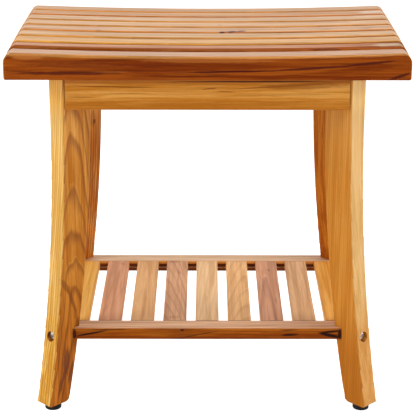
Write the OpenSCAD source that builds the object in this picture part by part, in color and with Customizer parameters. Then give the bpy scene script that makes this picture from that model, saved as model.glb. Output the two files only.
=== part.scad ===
// Teak shower bench: a saddle-topped slatted seat on four curved legs that stand on the
// diagonals of the frame, with a slatted shelf let into notches in the legs and bolted there.
// Millimetres, +Z up, the origin on the floor below the middle of the seat. The front is -Y.

/* [Seat] */
// Length of the seat slats, left to right
seat_l = 476; // [456:1:520]
// Depth of the seat, front to back
seat_d = 298.6; // [292:0.2:320]
// Height of the seat at the raised ends of its middle slat
seat_h = 457.2; // [430:0.2:480]
// Thickness of the middle slat at its raised ends
seat_slat_t = 33.2; // [28:0.2:36]
// How much lower the first and the last slat stand than the middle one
seat_crown = 1.2; // [0:0.1:3]
// How far the saddle dips below the ends at mid length
saddle_dip = 4.2; // [4:0.1:7]
// Angle of the soft break where the saddle runs onto the round at each end
saddle_break = 12; // [8:1:20]
// Radius of the big round at the top end corners of a seat slat
seat_end_r = 13; // [10:0.5:16]
// Radius at the bottom end corners of a seat slat
seat_foot_r = 3.5; // [1:0.5:5]
// Radius along the top arrises of a seat slat
seat_arris_r = 3; // [1:0.25:4]
// Radius along the lower arrises of a seat slat
seat_under_r = 1.5; // [0.5:0.25:2]

/* [Slat stock] */
// Width of every slat, in the seat and in the shelf
slat_w = 29.1; // [24:0.1:31]

/* [Frame under the seat] */
// How far the seat slats run past the side aprons
seat_over_l = 49.3; // [40:0.1:60]
// How far the front slat stands past the front apron
seat_over_d = 14; // [8:0.5:18]
// Thickness of an apron
apron_t = 20; // [16:0.5:24]
// Height of an apron
apron_h = 39.5; // [36:0.5:60]
// Radius along the lower arrises and at the end arrises of an apron
apron_arris_r = 2; // [1:0.25:3]
// Width of a cross batten
batten_w = 25; // [20:0.5:30]
// Height of a cross batten
batten_h = 22; // [18:0.5:30]
// Between an outer batten and the tips of the corner blocks
batten_gap = 5.4; // [3:0.2:20]
// Length of a batten's tenon
tenon_l = 10; // [6:0.5:13]
// Height of a batten's tenon
tenon_h = 12; // [8:0.5:15]
// Shoulder left on each side of a tenon
tenon_shoulder = 3; // [2:0.5:5]
// Height of a corner block
block_h = 33; // [30:0.5:36]
// Wood of a corner block behind the leg, along the diagonal
block_t = 18; // [14:0.5:22]

/* [Legs] */
// Thickness of a leg board, across the diagonal
leg_t = 25; // [22:0.5:28]
// Width of a leg at the top, along the diagonal
leg_w_top = 42; // [36:0.1:46]
// Width of a leg at the floor end
leg_w_foot = 32.4; // [27:0.1:36]
// How far the outer edge sweeps out at the floor end, along the diagonal
leg_splay = 35.5; // [25:0.5:45]
// How far below the aprons the outer edge starts to sweep out
outer_bend_drop = 20; // [0:1:40]
// Radius along the long arrises of a leg
leg_arris_r = 1.8; // [1:0.1:3]
// Radius at the inner corner of the floor end
leg_heel_r = 9; // [5:0.5:11]
// Radius at the outer corner of the floor end
leg_toe_r = 2.5; // [1:0.5:4]

/* [Shelf] */
// Height of the shelf's top face above the floor
shelf_z = 104; // [90:1:150]
// How far the end slats stand in from the rails' ends
shelf_inset = 7.1; // [2:0.1:9]
// Thickness of a shelf rail
rail_t = 14.9; // [13:0.1:18]
// Width of a shelf rail, front to back
rail_w = 26; // [23:0.5:32]
// Radius along the arrises of a shelf rail
rail_arris_r = 1.5; // [0.5:0.25:2]
// How deep the shelf's corners are let into the legs
notch_depth = 11; // [6:0.5:12]
// Thickness of a shelf slat
shelf_slat_t = 10; // [9:0.1:10.5]
// Radius along the arrises of a shelf slat
shelf_arris_r = 1.5; // [0.5:0.25:2]
// Thickness of the rail's upper lip over the groove
lip_t = 3.6; // [2.5:0.1:4]
// Depth of the groove in the rails
groove_depth = 6; // [5:0.25:6.5]

/* [Hardware] */
// Shank diameter of the machine bolts
bolt_d = 6; // [5:0.5:6.5]
// Head diameter of the machine bolts
bolt_head_d = 10; // [9.5:0.5:11]
// Head height of the machine bolts
bolt_head_h = 6; // [4:0.5:6.5]
// Width across flats of the hexagon socket in a bolt head
socket_af = 5; // [4:0.5:5.5]
// Depth of the hexagon socket
socket_depth = 3; // [2:0.5:3.5]
// Diameter of the counterbore for a shelf bolt
counterbore_d = 13; // [12:0.5:14]
// How deep a shelf bolt's head lies below the leg's outer edge
head_recess = 3.6; // [2:0.1:5]
// Length of a shelf bolt under its head
shelf_bolt_l = 25; // [22:0.5:25]
// Outer diameter of the threaded inserts for the bolts
insert_d = 8; // [7.5:0.25:9]
// Length of the threaded inserts in the shelf rails
shelf_insert_l = 10; // [8:0.5:11]
// Length of a frame bolt under its head
leg_bolt_l = 35; // [34:0.5:40]
// Length of the threaded inserts in the tops of the legs
leg_insert_l = 14; // [10:0.5:16]
// Distance between the two frame bolts of a leg
leg_bolt_pitch = 18; // [16:0.5:20]
// Outer diameter of a washer
washer_d = 12.5; // [11.5:0.5:14]
// Thickness of a washer
washer_t = 1.6; // [1:0.1:2]
// Shank diameter of the wood screws
screw_d = 4; // [3.5:0.25:4.5]
// Head diameter of the wood screws
screw_head_d = 8; // [7:0.25:9]
// Length of the wood screws
screw_l = 40; // [35:1:42]
// Length of the corner blocks' wood screws
block_screw_l = 30; // [26:1:32]
// Wood between a block screw's head and the apron
block_screw_cover = 15; // [12:0.5:17]
// From a block screw to the seat screw beside it in the apron
end_screw_gap = 12; // [9:0.5:25]

/* [Levelling feet] */
// Diameter of a foot pad
pad_d = 20.4; // [18:0.2:22]
// Height of a foot pad
pad_h = 8; // [7:0.25:12]
// Radius round the lower edge of a foot pad
pad_edge_r = 1.5; // [0.5:0.25:2]
// Diameter of the threaded stem
stem_d = 8; // [7:0.25:8.5]
// Stem left above its insert when the foot is wound right out
stem_spare = 2; // [1:0.5:4]
// Diameter of the plate at the stem's foot, moulded into the pad
stem_plate_d = 14; // [12:0.5:16]
// Thickness of that plate
stem_plate_t = 2; // [1.5:0.25:3]
// Rubber below the plate
pad_floor_t = 2.5; // [2:0.25:3]
// Outer diameter of the threaded insert for the stem
foot_insert_d = 12; // [11.5:0.25:14]
// Length of that insert
foot_insert_l = 14; // [12:0.5:16]
// Travel of a foot, from screwed home to wound out
foot_travel = 8; // [5:0.5:8]

/* [Clearances] */
// Between pieces that turn or slide in each other, on the radius
running_gap = 0.05; // [0.02:0.01:0.08]
// Between a loose bolt or screw and its hole, on the radius
bolt_gap = 0.25; // [0.1:0.05:0.4]
// Between a joint's cheeks, such as a tenon in its mortise
joint_gap = 0.15; // [0.1:0.05:0.2]
// Between a foot pad and the end of its leg
pad_gap = 0.3; // [0.2:0.05:0.5]

/* [Hidden] */
SIDES = ["left", "right"];
ENDS = ["front", "back"];
CORNERS = [for (e = [0:1], s = [0:1]) str(ENDS[e], "_", SIDES[s])];
BATTENS = ["left", "centre", "right"];
seat_slats = 9;
shelf_slats = 9;

round_fn = 48;
$fn = round_fn;
long_arc_fn = 1440;
root2 = sqrt(2);
over = 1;                               // how far a cutter runs past what it cuts

// Seat
seat_z = seat_h - seat_slat_t;          // underside of the slats, top of the frame
seat_pitch = (seat_d - slat_w) / (seat_slats - 1);
shoulder_x = seat_l / 2 - seat_end_r;
saddle_r = bow_radius(shoulder_x + seat_end_r * sin(saddle_break), saddle_dip);
saddle_a = asin((seat_l / 2 + slat_w) / saddle_r);

// Frame: a rectangle whose corners are cut off by the legs' outer edges
frame_l = seat_l - 2 * seat_over_l;
frame_d = seat_d - 2 * seat_over_d;
apron_z = seat_z - apron_h;
corner_x = (frame_l - leg_t / root2) / 2;
corner_y = (frame_d - leg_t / root2) / 2;
apron_half_front = frame_l / 2 - leg_t / root2;
apron_half_side = frame_d / 2 - leg_t / root2;
batten_z = seat_z - batten_h;
batten_half = frame_d / 2 - apron_t;    // a batten's shoulders
block_u = -leg_w_top - block_t;         // inner face of a corner block
block_z = seat_z - block_h;
block_in_x = frame_l / 2 - apron_t;     // a block's faces against the aprons
block_in_y = frame_d / 2 - apron_t;
block_sum = corner_x + corner_y + block_u * root2;      // x + y along its inner face
block_tip_x = block_sum - block_in_y;
leg_bolt_z = block_z + block_h / 2;
batten_x = block_tip_x - batten_gap - batten_w / 2;     // middle of an outer batten
end_screw_x = block_tip_x + block_screw_cover + end_screw_gap;

// Legs: u runs outwards along the diagonal, from the outer edge at the top of the leg
leg_z = pad_h + pad_gap;
outer_bend_z = apron_z - outer_bend_drop;
inner_bend_z = apron_z;
outer_r = bow_radius(outer_bend_z - leg_z, leg_splay);
inner_r = bow_radius(inner_bend_z - leg_z, leg_splay + leg_w_top - leg_w_foot);
slab = leg_w_top + leg_splay;           // a slab's width, past the leg's other edge
foot_u = (outer_u(leg_z) + inner_u(leg_z)) / 2;

// Shelf: its corners are cut along the notch floors, at a right angle to the diagonals
shelf_mid_z = shelf_z - rail_t / 2;
notch_u = inner_u(shelf_mid_z) + notch_depth;
notch_sum = corner_x + corner_y + notch_u * root2;      // x + y along a notch floor
leg_diff = corner_x - corner_y;         // x - y along a leg's middle
rail_y = (notch_sum - leg_diff + leg_t / root2) / 2;    // flush with the legs' front cheeks
rail_x = (notch_sum + leg_diff + leg_t / root2) / 2;    // flush with their side cheeks
rail_in_y = rail_y - rail_w;
shelf_pitch = (rail_x - shelf_inset - slat_w / 2) * 2 / (shelf_slats - 1);
groove_z = shelf_z - shelf_slat_t;
groove_h = shelf_slat_t - lip_t;
tongue_l = groove_depth - joint_gap;
seat_u = outer_u(shelf_mid_z) - head_recess - bolt_head_h;      // under a shelf bolt's head

// Levelling feet
plate_z = pad_floor_t;
stem_l = foot_insert_l + foot_travel + stem_spare;      // above the pad
screw_head_h = (screw_head_d - screw_d) / 2;

// Radius of an arc that leaves a straight line and strays by `stray` over `run`
function bow_radius(run, stray) = (run * run + stray * stray) / (2 * stray);
// How far an arc of radius r has strayed, `run` past its start
function stray_at(r, run) = r - sqrt(r * r - run * run);
// Height of seat slat i at its raised ends
function slat_top(i) = seat_h - seat_crown * pow(slat_y(i) / slat_y(0), 2);
// Middle of seat slat i, and where its screws stand: over the battens, or for the first and
// the last slat, over the middle of an apron, beside the block screws and between the battens
function slat_y(i) = (i - (seat_slats - 1) / 2) * seat_pitch;
function slat_screws(i) =
    i % (seat_slats - 1) == 0
    ? [for (x = [end_screw_x, batten_x / 2], side = [-1, 1])
        [side * x, sign(slat_y(i)) * (frame_d - apron_t) / 2]]
    : [for (side = [-1:1]) [side * batten_x, slat_y(i)]];
// The leg's outer and inner edge at a height
function outer_u(z) = stray_at(outer_r, max(outer_bend_z - z, 0));
function inner_u(z) = stray_at(inner_r, max(inner_bend_z - z, 0)) - leg_w_top;

// A rectangle from lo to hi with round corners
module soft_rect(lo, hi, r) {
    size = hi - lo;
    translate([lo.x + r, lo.y]) square([size.x - 2 * r, size.y]);
    translate([lo.x, lo.y + r]) square([size.x, size.y - 2 * r]);
    for (x = [lo.x + r, hi.x - r], y = [lo.y + r, hi.y - r])
        translate([x, y]) circle(r, $fn = round_fn);
}

// What a round of radius r takes off a corner: c is the round's centre, and a and b are
// the unit vectors from it to the two sides
module corner_waste(c, a, b, r) {
    reach = 4 * r;
    difference() {
        polygon([c, c + reach * a, c + reach * (a + b), c + reach * b]);
        translate(c) circle(r, $fn = round_fn);
    }
}

// Draws its children, given in the plane of X and Z, as a slab `t` thick about y = 0
module upright(t) {
    rotate([90, 0, 0]) translate([0, 0, -t / 2]) linear_extrude(t) children();
}

// A section given as (radius, across) swept round an axis along Y through (x, z),
// over `sweep` degrees from the direction `from`, counted from +X towards +Z
module swept(x, z, from, sweep) {
    translate([x, 0, z]) rotate([90, -from, 0])
        rotate_extrude(angle = sweep, $fn = long_arc_fn) children();
}

// A section given as (y, z) run along X from x0 to x1
module along_x(x0, x1) {
    translate([x0, 0, 0]) rotate([90, 0, 90]) linear_extrude(x1 - x0) children();
}

// A cylinder along +X from x0 to x1, at the height z
module rod_x(x0, x1, d, z) {
    translate([x0, 0, z]) rotate([0, 90, 0]) cylinder(h = x1 - x0, d = d);
}

// Puts what is drawn for the back right corner at one of the four corners
module quadrant(corner) {
    mirror([corner % 2 == 0 ? 1 : 0, 0, 0]) mirror([0, corner < 2 ? 1 : 0, 0]) children();
}

// Puts a piece that is drawn along a leg's diagonal at one of the four corners
module at_corner(corner) {
    quadrant(corner) translate([corner_x, corner_y, 0]) rotate([0, 0, 45]) children();
}

// A seat slat's outline in X and Z before its saddle is cut: big rounds at the top of the
// ends, small ones below, and left tall between the ends
module slat_outline(top) {
    shoulder_z = top - seat_end_r * cos(saddle_break);
    foot_x = seat_l / 2 - seat_foot_r;
    foot_z = seat_z + seat_foot_r;
    for (side = [-1, 1]) {
        translate([side * shoulder_x, shoulder_z]) circle(seat_end_r);
        translate([side * foot_x, foot_z]) circle(seat_foot_r);
    }
    translate([-foot_x, seat_z]) square([2 * foot_x, 2 * seat_foot_r]);
    translate([-seat_l / 2, foot_z]) square([seat_l, shoulder_z - foot_z]);
    translate([-shoulder_x, foot_z]) square([2 * shoulder_x, 2 * seat_slat_t]);
}

// Seat slat: its outline, seen from the front, from above and from the end, then a long
// saddle swept about a far axis above it, with its soft arrises in the same sweep
module seat_slat(i) {
    color(i == 0 ? "saddlebrown" : i % 2 == 0 ? "burlywood" : "tan")
    difference() {
        translate([0, slat_y(i), 0])
        intersection() {
            upright(slat_w + 2 * over) slat_outline(slat_top(i));
            translate([0, 0, seat_z - over])
                linear_extrude(2 * seat_slat_t)
                    soft_rect([-seat_l / 2, -slat_w / 2], [seat_l / 2, slat_w / 2], seat_arris_r);
            along_x(-seat_l / 2 - over, seat_l / 2 + over)
                soft_rect([-slat_w / 2, seat_z], [slat_w / 2, seat_h + seat_slat_t], seat_under_r);
            swept(0, slat_top(i) - saddle_dip + saddle_r, -90 - saddle_a, 2 * saddle_a)
                soft_rect([saddle_r, -slat_w / 2], [saddle_r + 2 * seat_slat_t, slat_w / 2],
                          seat_arris_r);
        }
        for (at = slat_screws(i)) translate([at.x, at.y, batten_z]) screw_hole(screw_l);
    }
}

// Cross batten under the slats, tenoned into the front and back aprons
module seat_batten(i) {
    color("peru")
    translate([(i - 1) * batten_x, 0, 0])
    difference() {
        union() {
            translate([-batten_w / 2, -batten_half, batten_z])
                cube([batten_w, 2 * batten_half, batten_h]);
            batten_tenons(0);
        }
        for (k = [1:seat_slats - 2]) translate([0, slat_y(k), batten_z]) screw_hole(screw_l);
    }
}

// Both tenons of a batten, or with a gap, the mortises that take them
module batten_tenons(gap) {
    w = batten_w - 2 * tenon_shoulder + 2 * gap;
    h = tenon_h + 2 * gap;
    l = batten_half + tenon_l + gap;
    translate([-w / 2, -l, batten_z + (batten_h - h) / 2]) cube([w, 2 * l, h]);
}

// A countersunk wood screw, its head's face at z = 0 and its point up
module wood_screw(l) {
    point_h = screw_d;
    difference() {
        union() {
            cylinder(h = screw_head_h, d1 = screw_head_d, d2 = screw_d);
            translate([0, 0, screw_head_h]) cylinder(h = l - point_h - screw_head_h, d = screw_d);
            translate([0, 0, l - point_h]) cylinder(h = point_h, d1 = screw_d, d2 = 0);
        }
        translate([0, 0, -over]) cylinder(h = over + screw_head_h / 2, d = screw_d / 2, $fn = 6);
    }
}

// The hole and countersink that take a wood screw, with a pocket behind its head
module screw_hole(l, pocket = over) {
    cylinder(h = l, d = screw_d + 2 * running_gap);
    cylinder(h = screw_head_h, d1 = screw_head_d, d2 = screw_d);
    translate([0, 0, -pocket]) cylinder(h = pocket, d = screw_head_d);
}

// All the screws that hold the seat slats
module seat_slat_screws() {
    color("silver")
    for (i = [0:seat_slats - 1], at = slat_screws(i))
        translate([at.x, at.y, batten_z]) wood_screw(screw_l);
}

// Apron board along X with its outer face at y = -face, cut at 45 degrees at both ends so
// that they lie against the legs' cheeks; `half` is half its length on the outer face
module apron_board(half, face) {
    tip = [half - apron_arris_r * (1 + root2), -face + apron_arris_r];
    intersection() {
        translate([0, 0, apron_z])
        linear_extrude(apron_h)
        difference() {
            polygon([[-half, -face], [half, -face],
                     [half - apron_t, -face + apron_t], [apron_t - half, -face + apron_t]]);
            for (side = [0:1]) mirror([side, 0, 0])
                corner_waste(tip, [0, -1], [1, 1] / root2, apron_arris_r);
        }
        along_x(-half - over, half + over)
            soft_rect([-face, apron_z], [-face + apron_t, seat_z + 2 * apron_h], apron_arris_r);
    }
}

// Front apron, or turned round the back one, with the battens' mortises and the holes that
// the first slat's screws come up by
module apron_front() {
    color("goldenrod")
    difference() {
        apron_board(apron_half_front, frame_d / 2);
        for (i = [-1:1]) translate([i * batten_x, 0, 0]) batten_tenons(joint_gap);
        for (corner = [0:1]) quadrant(corner) block_screw_place(0) screw_hole(block_screw_l);
        for (at = slat_screws(0))
            translate([at.x, at.y, batten_z]) screw_hole(screw_l, batten_z - apron_z + over);
    }
}

// Right apron, or turned round the left one
module apron_right() {
    color("goldenrod")
    difference() {
        rotate([0, 0, 90]) apron_board(apron_half_side, frame_l / 2);
        for (corner = [1, 3]) quadrant(corner) block_screw_place(1) screw_hole(block_screw_l);
    }
}

// Corner block between two aprons, slotted over the leg's inner part
module corner_block(corner) {
    color("peru")
    quadrant(corner)
    difference() {
        translate([0, 0, block_z])
        linear_extrude(block_h)
        difference() {
            polygon([[block_in_x, block_in_y], [block_tip_x, block_in_y],
                     [block_in_x, block_sum - block_in_x]]);
            translate([corner_x, corner_y])
                rotate(45)
                    translate([-leg_w_top, -leg_t / 2 - joint_gap])
                        square([leg_w_top, leg_t + 2 * joint_gap]);
        }
        translate([corner_x, corner_y, 0]) rotate([0, 0, 45])
            leg_bolt_rows() rod_x(block_u - over, 0, bolt_d + 2 * bolt_gap, 0);
        for (wing = [0:1]) block_screw_place(wing) screw_hole(block_screw_l, screw_head_d);
    }
}

// Puts its children at the heights of a leg's two frame bolts
module leg_bolt_rows() {
    for (row = [-1, 1])
        translate([0, 0, leg_bolt_z + row * leg_bolt_pitch / 2]) children();
}

// Where the back right block's screw enters its inner face, driven square into the back
// apron (wing 0) or the side apron (wing 1); the screw's +Z points into the apron
module block_screw_place(wing) {
    x = wing == 0 ? block_tip_x + block_screw_cover : block_in_x - block_screw_cover;
    translate([x, block_sum - x, leg_bolt_z])
        rotate(wing == 0 ? [-90, 0, 0] : [90, 0, 90]) children();
}

// The corner blocks' screws
module corner_block_screws() {
    color("silver")
    for (corner = [0:3], wing = [0:1])
        quadrant(corner) block_screw_place(wing) wood_screw(block_screw_l);
}

// One edge of a leg: a straight top that runs into a long arc, with soft arrises along the
// edge. dir is 1 for the outer edge, whose wood lies inside the arc's far side, and -1 for
// the inner edge
module leg_edge(r, bend_z, u0, dir) {
    sweep = asin(bend_z / r) + 1;
    lo = dir > 0 ? [r, -leg_t / 2] : [r - slab, -leg_t / 2];
    hi = lo + [slab, leg_t];
    swept(u0 + r, bend_z, 180, sweep) soft_rect(lo, hi, leg_arris_r);
    translate([0, 0, bend_z])
        linear_extrude(seat_z - bend_z)
            soft_rect([dir > 0 ? u0 - slab : u0, -leg_t / 2],
                      [dir > 0 ? u0 : u0 + slab, leg_t / 2], leg_arris_r);
}

// What is cut off a leg at the floor: all below its end, and both corner rounds
module floor_end_waste() {
    heel_z = leg_z + leg_heel_r;
    heel_u = inner_r - leg_w_top
        - sqrt(pow(inner_r - leg_heel_r, 2) - pow(inner_bend_z - heel_z, 2));
    heel_out = [heel_u - inner_r + leg_w_top, heel_z - inner_bend_z];
    toe_z = leg_z + leg_toe_r;
    toe_u = outer_r - sqrt(pow(outer_r + leg_toe_r, 2) - pow(outer_bend_z - toe_z, 2));
    toe_out = [outer_r - toe_u, outer_bend_z - toe_z];
    upright(leg_t + 2 * over) {
        translate([-slab, -slab]) square([3 * slab, slab + leg_z]);
        corner_waste([heel_u, heel_z], heel_out / norm(heel_out), [0, -1], leg_heel_r);
        corner_waste([toe_u, toe_z], toe_out / norm(toe_out), [0, -1], leg_toe_r);
    }
}

// Leg: a board on the diagonal, swept and tapered, with a notch for the shelf's corner,
// a counterbored hole for the shelf bolt and holes for the three inserts
module leg(corner) {
    color(corner < 2 ? "chocolate" : "sienna")
    at_corner(corner)
    difference() {
        intersection() {
            leg_edge(outer_r, outer_bend_z, 0, 1);
            leg_edge(inner_r, inner_bend_z, -leg_w_top, -1);
        }
        floor_end_waste();
        translate([notch_u - slab, -leg_t / 2 - over, shelf_z - rail_t])
            cube([slab, leg_t + 2 * over, rail_t + joint_gap]);
        rod_x(notch_u - over, slab, bolt_d + 2 * bolt_gap, shelf_mid_z);
        rod_x(seat_u, slab, counterbore_d, shelf_mid_z);
        leg_bolt_rows() {
            rod_x(-leg_w_top - over, -leg_w_top + leg_insert_l, insert_d, 0);
            rod_x(-leg_w_top, block_u + leg_bolt_l, bolt_d + 2 * bolt_gap, 0);
        }
        translate([foot_u, 0, leg_z - over]) cylinder(h = foot_insert_l + over, d = foot_insert_d);
        translate([foot_u, 0, leg_z])
            cylinder(h = stem_l + over, d = stem_d + 2 * bolt_gap);
    }
}

// A socket-head bolt along the diagonal: its head's bearing face is at u, and its shank
// runs out (dir 1) or in (dir -1)
module bolt(u, l, dir) {
    translate([u, 0, 0]) rotate([0, 90 * dir, 0])
    difference() {
        union() {
            translate([0, 0, -bolt_head_h]) cylinder(h = bolt_head_h, d = bolt_head_d);
            cylinder(h = l, d = bolt_d);
        }
        translate([0, 0, -bolt_head_h - over])
            cylinder(h = socket_depth + over, d = socket_af / cos(30), $fn = 6);
    }
}

// Threaded insert along the diagonal, between u0 and u1
module bolt_insert(u0, u1) {
    difference() {
        rod_x(u0, u1, insert_d, 0);
        rod_x(u0 - over, u1 + over, bolt_d + 2 * running_gap, 0);
    }
}

// The bolts that hold the legs to the corner blocks
module leg_bolts() {
    color("silver")
    for (corner = [0:3]) at_corner(corner)
        leg_bolt_rows() bolt(block_u - washer_t, leg_bolt_l, 1);
}

// Their washers
module leg_bolt_washers() {
    color("silver")
    for (corner = [0:3]) at_corner(corner) leg_bolt_rows()
        difference() {
            rod_x(block_u - washer_t, block_u, washer_d, 0);
            rod_x(block_u - washer_t - over, block_u + over, bolt_d + 2 * bolt_gap, 0);
        }
}

// The threaded inserts in the tops of the legs
module leg_inserts() {
    color("darkgoldenrod")
    for (corner = [0:3]) at_corner(corner)
        leg_bolt_rows() bolt_insert(-leg_w_top, -leg_w_top + leg_insert_l);
}

// Shelf rail with a groove along its inner face and ends cut to the notch floors
module shelf_rail(end) {
    cut_y = notch_sum - rail_x;
    tip_r = rail_arris_r;
    tip = [notch_sum - rail_y - tip_r * (root2 - 1), -rail_y + tip_r];
    color("sienna")
    mirror([0, end, 0])
    difference() {
        intersection() {
            translate([0, 0, shelf_z - rail_t])
            linear_extrude(rail_t)
            difference() {
                polygon([[-rail_x, -rail_in_y], [-rail_x, -cut_y],
                         [rail_y - notch_sum, -rail_y], [notch_sum - rail_y, -rail_y],
                         [rail_x, -cut_y], [rail_x, -rail_in_y]]);
                for (side = [0:1]) mirror([side, 0, 0])
                    corner_waste(tip, [0, -1], [1, -1] / root2, tip_r);
            }
            along_x(-rail_x - over, rail_x + over)
                soft_rect([-rail_y, shelf_z - rail_t], [-rail_in_y, shelf_z], rail_arris_r);
        }
        translate([-rail_x - over, -rail_in_y - groove_depth, groove_z])
            cube([2 * (rail_x + over), groove_depth + over, groove_h]);
        for (corner = [0:1]) at_corner(corner) {
            rod_x(notch_u - shelf_insert_l, notch_u + over, insert_d, shelf_mid_z);
            rod_x(seat_u - shelf_bolt_l, notch_u, bolt_d + 2 * bolt_gap, shelf_mid_z);
        }
    }
}

// Shelf slat, flush with the rails' tops, its ends rebated to tongues for the grooves
module shelf_slat(i) {
    body_half = rail_in_y - joint_gap;
    color(i % 2 == 0 ? "sandybrown" : "rosybrown")
    translate([(i - (shelf_slats - 1) / 2) * shelf_pitch, 0, 0])
    difference() {
        upright(2 * (rail_in_y + tongue_l))
            soft_rect([-slat_w / 2, groove_z], [slat_w / 2, shelf_z], shelf_arris_r);
        for (side = [0:1]) mirror([0, side, 0])
            translate([-slat_w, body_half, groove_z + groove_h - joint_gap])
                cube([2 * slat_w, 2 * tongue_l, shelf_slat_t]);
    }
}

// The bolts that hold the shelf in the notches
module shelf_bolts() {
    color("silver")
    for (corner = [0:3]) at_corner(corner)
        translate([0, 0, shelf_mid_z]) bolt(seat_u, shelf_bolt_l, -1);
}

// The threaded inserts in the shelf's corners
module shelf_inserts() {
    color("darkgoldenrod")
    for (corner = [0:3]) at_corner(corner)
        translate([0, 0, shelf_mid_z]) bolt_insert(notch_u - shelf_insert_l, notch_u);
}

// The threaded inserts in the legs' floor ends
module foot_inserts() {
    color("darkgoldenrod")
    for (corner = [0:3]) at_corner(corner)
        translate([foot_u, 0, leg_z])
        difference() {
            cylinder(h = foot_insert_l, d = foot_insert_d);
            translate([0, 0, -over])
                cylinder(h = foot_insert_l + 2 * over, d = stem_d + 2 * running_gap);
        }
}

// Stem of a levelling foot, with the plate that the pad is moulded round
module foot_stem(corner) {
    color("silver")
    at_corner(corner)
    translate([foot_u, 0, 0]) {
        translate([0, 0, plate_z]) cylinder(h = stem_plate_t, d = stem_plate_d);
        translate([0, 0, plate_z + stem_plate_t])
            cylinder(h = pad_h + stem_l - plate_z - stem_plate_t, d = stem_d);
    }
}

// Pad of a levelling foot
module foot_pad(corner) {
    color("black")
    at_corner(corner)
    translate([foot_u, 0, 0])
    rotate_extrude()
    difference() {
        intersection() {
            soft_rect([-pad_d / 2, 0], [pad_d / 2, 2 * pad_h], pad_edge_r);
            square([pad_d / 2, pad_h]);
        }
        translate([0, plate_z - running_gap])
            square([stem_plate_d / 2 + running_gap, stem_plate_t + 2 * running_gap]);
        translate([0, plate_z]) square([stem_d / 2 + running_gap, pad_h]);
    }
}

for (i = [0:seat_slats - 1])
    seat_slat(i);
for (i = [0:2])
    seat_batten(i);
seat_slat_screws();
apron_front();
rotate([0, 0, 180]) apron_front();  // apron_back
rotate([0, 0, 180]) apron_right();  // apron_left
apron_right();
for (c = [0:3])
    corner_block(c);
corner_block_screws();
for (c = [0:3])
    leg(c);
leg_bolts();
leg_bolt_washers();
leg_inserts();
for (e = [0:1])
    shelf_rail(e);
for (i = [0:shelf_slats - 1])
    shelf_slat(i);
shelf_bolts();
shelf_inserts();
foot_inserts();
for (c = [0:3])
    foot_stem(c);
for (c = [0:3])
    foot_pad(c);
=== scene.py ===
import math

import bmesh
import bpy
from mathutils import Matrix, Vector


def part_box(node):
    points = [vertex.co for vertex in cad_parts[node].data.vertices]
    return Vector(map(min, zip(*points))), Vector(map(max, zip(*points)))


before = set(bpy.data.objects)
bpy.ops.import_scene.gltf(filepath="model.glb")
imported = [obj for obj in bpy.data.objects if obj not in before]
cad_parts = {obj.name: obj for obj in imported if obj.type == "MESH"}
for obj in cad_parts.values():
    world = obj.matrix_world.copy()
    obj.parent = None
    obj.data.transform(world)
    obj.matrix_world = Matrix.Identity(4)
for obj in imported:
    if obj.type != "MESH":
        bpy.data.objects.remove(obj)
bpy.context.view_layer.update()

MM = 0.001


# ---------------------------------------------------------------- camera, light and floor

# The photographed view: place (m), lens and sensor (mm), clipping (m) and turn (degrees)
CAMERA_PLACE = (-0.00237, -1.8360, 0.83195)
LENS, SENSOR = 128.577, 36.0
NEAR, FAR = 0.05, 100.0
PITCH, YAW, ROLL = 18.5, 0.108, 0.097

# Lamps: size, place and target (m), and power
LAMPS = {
    "lamp_front": ((1.8, 0.8), (0.0, -2.4, 1.0), (0.0, 0.0, 0.2), 9.0),
    "lamp_top": ((1.8, 1.4), (0.0, 0.5, 1.9), (0.0, 0.0, 0.3), 3.0),
    "lamp_left": ((1.0, 1.2), (-1.6, -0.35, 1.45), (0.0, 0.0, 0.2), 24.0),
    "lamp_right": ((1.0, 1.2), (1.6, -0.35, 1.45), (0.0, 0.0, 0.2), 22.0),
}
# Strength of the surround where it gives light. Where it is seen it is full white
SURROUND_LIGHT = 0.45

# Floor: half its width, and how far its middle lies behind the bench (m)
FLOOR_HALF, FLOOR_BACK = 9.0, 5.0
FLOOR_WHITE = (0.9, 0.9, 0.9, 1.0)
FLOOR_GLOW = 0.75


def place_camera():
    """The photographed view: from the front, a little above the seat, through a long lens."""
    pitch, yaw, roll = (math.radians(turn) for turn in (PITCH, YAW, ROLL))
    look = Vector((math.sin(yaw) * math.cos(pitch), math.cos(yaw) * math.cos(pitch),
                   -math.sin(pitch)))
    level_right = Vector((math.cos(yaw), -math.sin(yaw), 0.0))
    level_up = level_right.cross(look)
    right = level_right * math.cos(roll) + level_up * math.sin(roll)
    up = level_up * math.cos(roll) - level_right * math.sin(roll)
    data = bpy.data.cameras.new("camera")
    data.sensor_fit = "HORIZONTAL"
    data.sensor_width = SENSOR
    data.lens = LENS
    data.clip_start = NEAR
    data.clip_end = FAR
    camera = bpy.data.objects.new("camera", data)
    turn = Matrix((right, up, -look)).transposed().to_4x4()
    camera.matrix_world = Matrix.Translation(CAMERA_PLACE) @ turn
    bpy.context.scene.collection.objects.link(camera)
    bpy.context.scene.camera = camera
    bpy.context.scene.view_settings.view_transform = "Standard"


def area_light(name, size, place, target, power):
    """A soft rectangular lamp at `place` that faces `target`."""
    data = bpy.data.lights.new(name, "AREA")
    data.shape = "RECTANGLE"
    data.size, data.size_y = size
    data.energy = power
    lamp = bpy.data.objects.new(name, data)
    lamp.location = place
    lamp.rotation_euler = (Vector(target) - Vector(place)).to_track_quat("-Z", "Y").to_euler()
    bpy.context.scene.collection.objects.link(lamp)


def shown_share(g):
    """1 for what the camera sees, directly or in a gloss or through a glass, and 0 for light."""
    path = g.node("LightPath")
    seen = g.math("MAXIMUM", path.outputs["Is Camera Ray"], path.outputs["Is Glossy Ray"])
    return g.math("MAXIMUM", seen, path.outputs["Is Transmission Ray"])


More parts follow.
